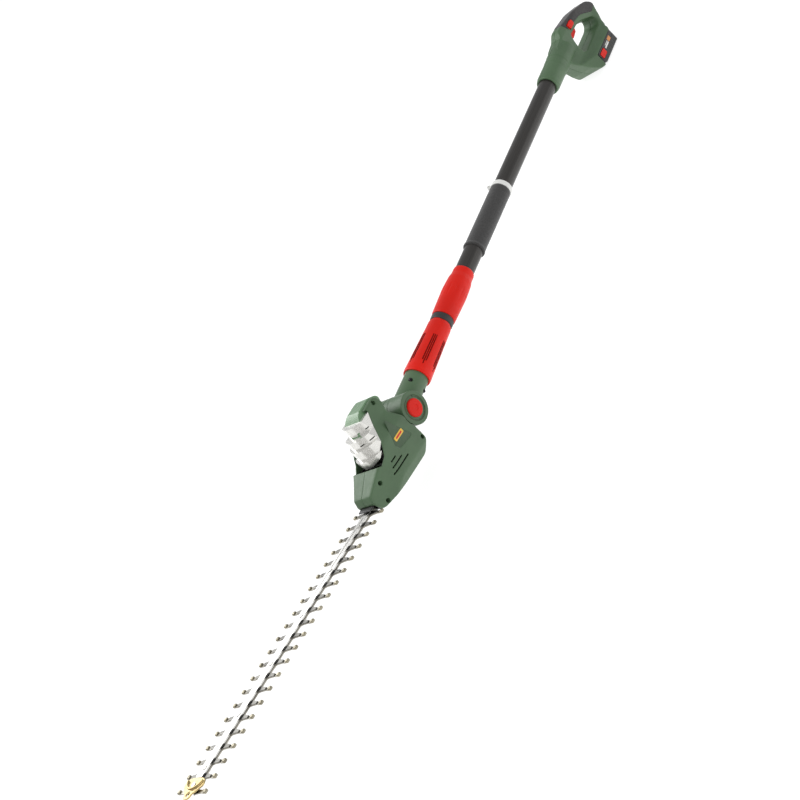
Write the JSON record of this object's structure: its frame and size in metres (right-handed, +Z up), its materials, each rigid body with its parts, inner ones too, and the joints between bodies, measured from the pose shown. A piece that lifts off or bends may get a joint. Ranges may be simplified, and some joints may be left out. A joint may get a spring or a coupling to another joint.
{
  "type": "pole hedge trimmer",
  "caption": "Cordless telescopic pole hedge trimmer with a tilting cutting head, double-edged reciprocating blade, rear D-handle and slide-in battery pack.",
  "frame": {"origin": "on the pole's axis, at the middle of the bare stretch of the rear tube between the handle socket and the strap band", "axes": "+X along the pole towards the cutting head, +Z up towards the top of the D-handle, +Y to the user's left, the side of the release button"},
  "size_m": [1.8087, 0.08, 0.1626],
  "materials": {
    "green_plastic": "satin moulded",
    "red_plastic": "satin moulded",
    "soft_rubber": "soft-touch",
    "foam": "closed-cell foam",
    "tube_paint": "dark anodised tube",
    "tube_metal": "bright drawn tube",
    "white_band": "white plastic",
    "silver_plastic": "silver painted",
    "dark_plastic": "moulded",
    "battery_plastic": "moulded",
    "cell_wrap": "shrink wrap",
    "lead_rubber": "cable sheath",
    "screw_steel": "blackened steel",
    "spring_steel": "drawn wire",
    "machine_steel": "machined",
    "bronze": "sintered bronze",
    "blade_steel": "ground blade steel",
    "rail_steel": "brushed",
    "yellow_zinc": "yellow zinc plate",
    "label": "blank badge"
  },
  "bodies": {
    "handle": {"handle_shell_left": "green_plastic", "handle_shell_right": "green_plastic", "soft_grip": "soft_rubber", "handle_screws": "screw_steel", "switch_module": "dark_plastic", "terminal_block": "dark_plastic", "outer_tube": "tube_paint", "foam_grip": "foam", "strap_band": "white_band", "clamp_collet": "dark_plastic", "wiper_ring": "soft_rubber", "coiled_lead": "lead_rubber", "trigger_spring": "spring_steel"},
    "trigger": {"trigger": "red_plastic"},
    "lock_off": {"lock_off_button": "red_plastic"},
    "battery": {"battery_case": "battery_plastic", "battery_lid": "battery_plastic", "battery_cells": "cell_wrap"},
    "latch_l": {"latch_left": "red_plastic"},
    "latch_r": {"latch_right": "red_plastic"},
    "clamp": {"clamp_sleeve": "red_plastic"},
    "front_pole": {"inner_tube": "tube_metal", "slide_bush": "dark_plastic", "threaded_spigot": "dark_plastic", "neck_left": "green_plastic", "neck_right": "green_plastic", "neck_screws": "screw_steel", "detent_ring": "spring_steel"},
    "nut": {"coupling_nut": "red_plastic"},
    "head": {"pivot_hub": "dark_plastic", "hub_ring": "green_plastic", "tilt_spring": "spring_steel", "head_shell_left": "green_plastic", "head_shell_right": "green_plastic", "dome_cover": "green_plastic", "vent_cover": "silver_plastic", "label_plate": "label", "head_screws": "screw_steel", "motor_can": "machine_steel", "motor_plate": "machine_steel", "gear_plate": "machine_steel", "gear_bushes": "bronze", "blade_shroud": "dark_plastic", "comb_blade": "blade_steel", "comb_teeth": "blade_steel", "guide_rail": "rail_steel", "rail_bolts": "rail_steel", "tip_guard": "yellow_zinc", "tip_screw": "rail_steel"},
    "tilt_lock": {"tilt_button": "red_plastic"},
    "rotor": {"motor_rotor": "machine_steel"},
    "gear": {"drive_gear": "machine_steel"},
    "cutter": {"moving_blade": "blade_steel", "moving_teeth": "blade_steel"}
  },
  "joints": [
    {"name": "trigger_pull", "type": "hinge", "parent": "handle", "child": "trigger", "pos_m": [-0.289, 0, 0.008], "axis": [0, 1, 0], "range_deg": [0, 8], "stiffness_Nm_per_rad": 0.6, "springref_deg": -17.19, "deforming": ["trigger_spring"]},
    {"name": "lock_off_press", "type": "slide", "parent": "handle", "child": "lock_off", "axis": [0, -1, 0], "range_m": [-0.0025, 0.0025], "stiffness_N_per_m": 500},
    {"name": "battery_slide", "type": "slide", "parent": "handle", "child": "battery", "axis": [-1, 0, 0], "range_m": [0, 0.11]},
    {"name": "latch_left_press", "type": "slide", "parent": "battery", "child": "latch_l", "axis": [0, -1, 0], "range_m": [0, 0.0015], "stiffness_N_per_m": 600, "springref_m": -0.001},
    {"name": "latch_right_press", "type": "slide", "parent": "battery", "child": "latch_r", "axis": [0, 1, 0], "range_m": [0, 0.0015], "stiffness_N_per_m": 600, "springref_m": -0.001},
    {"name": "clamp_twist", "type": "hinge", "parent": "handle", "child": "clamp", "pos_m": [0.41, 0, 0], "axis": [1, 0, 0], "range_deg": [0, 90]},
    {"name": "telescope", "type": "slide", "parent": "handle", "child": "front_pole", "axis": [1, 0, 0], "range_m": [0, 0.4], "deforming": ["coiled_lead"]},
    {"name": "nut_twist", "type": "hinge", "parent": "front_pole", "child": "nut", "pos_m": [0.5444, 0, 0], "axis": [1, 0, 0], "range_deg": [0, 120]},
    {"name": "head_tilt", "type": "hinge", "parent": "front_pole", "child": "head", "pos_m": [0.6794, 0, 0], "axis": [0, 1, 0], "range_deg": [-36.7, 90]},
    {"name": "tilt_release", "type": "slide", "parent": "head", "child": "tilt_lock", "axis": [0, -1, 0], "range_m": [0, 0.004], "stiffness_N_per_m": 800, "springref_m": -0.002, "deforming": ["tilt_spring"]},
    {"name": "rotor_spin", "type": "hinge", "parent": "head", "child": "rotor", "pos_m": [0.74669, 0, 0.00982], "axis": [-0.1444, 0, 0.9895], "continuous": true},
    {"name": "gear_spin", "type": "hinge", "parent": "head", "child": "gear", "pos_m": [0.77044, 0, 0.01328], "axis": [-0.1444, 0, 0.9895], "continuous": true},
    {"name": "blade_stroke", "type": "slide", "parent": "head", "child": "cutter", "axis": [0.9895, 0, 0.1444], "range_m": [-0.006, 0.006]}
  ],
  "couplings": [
    {"joint": "gear_spin", "follows": "rotor_spin", "ratio": -0.25}
  ]
}
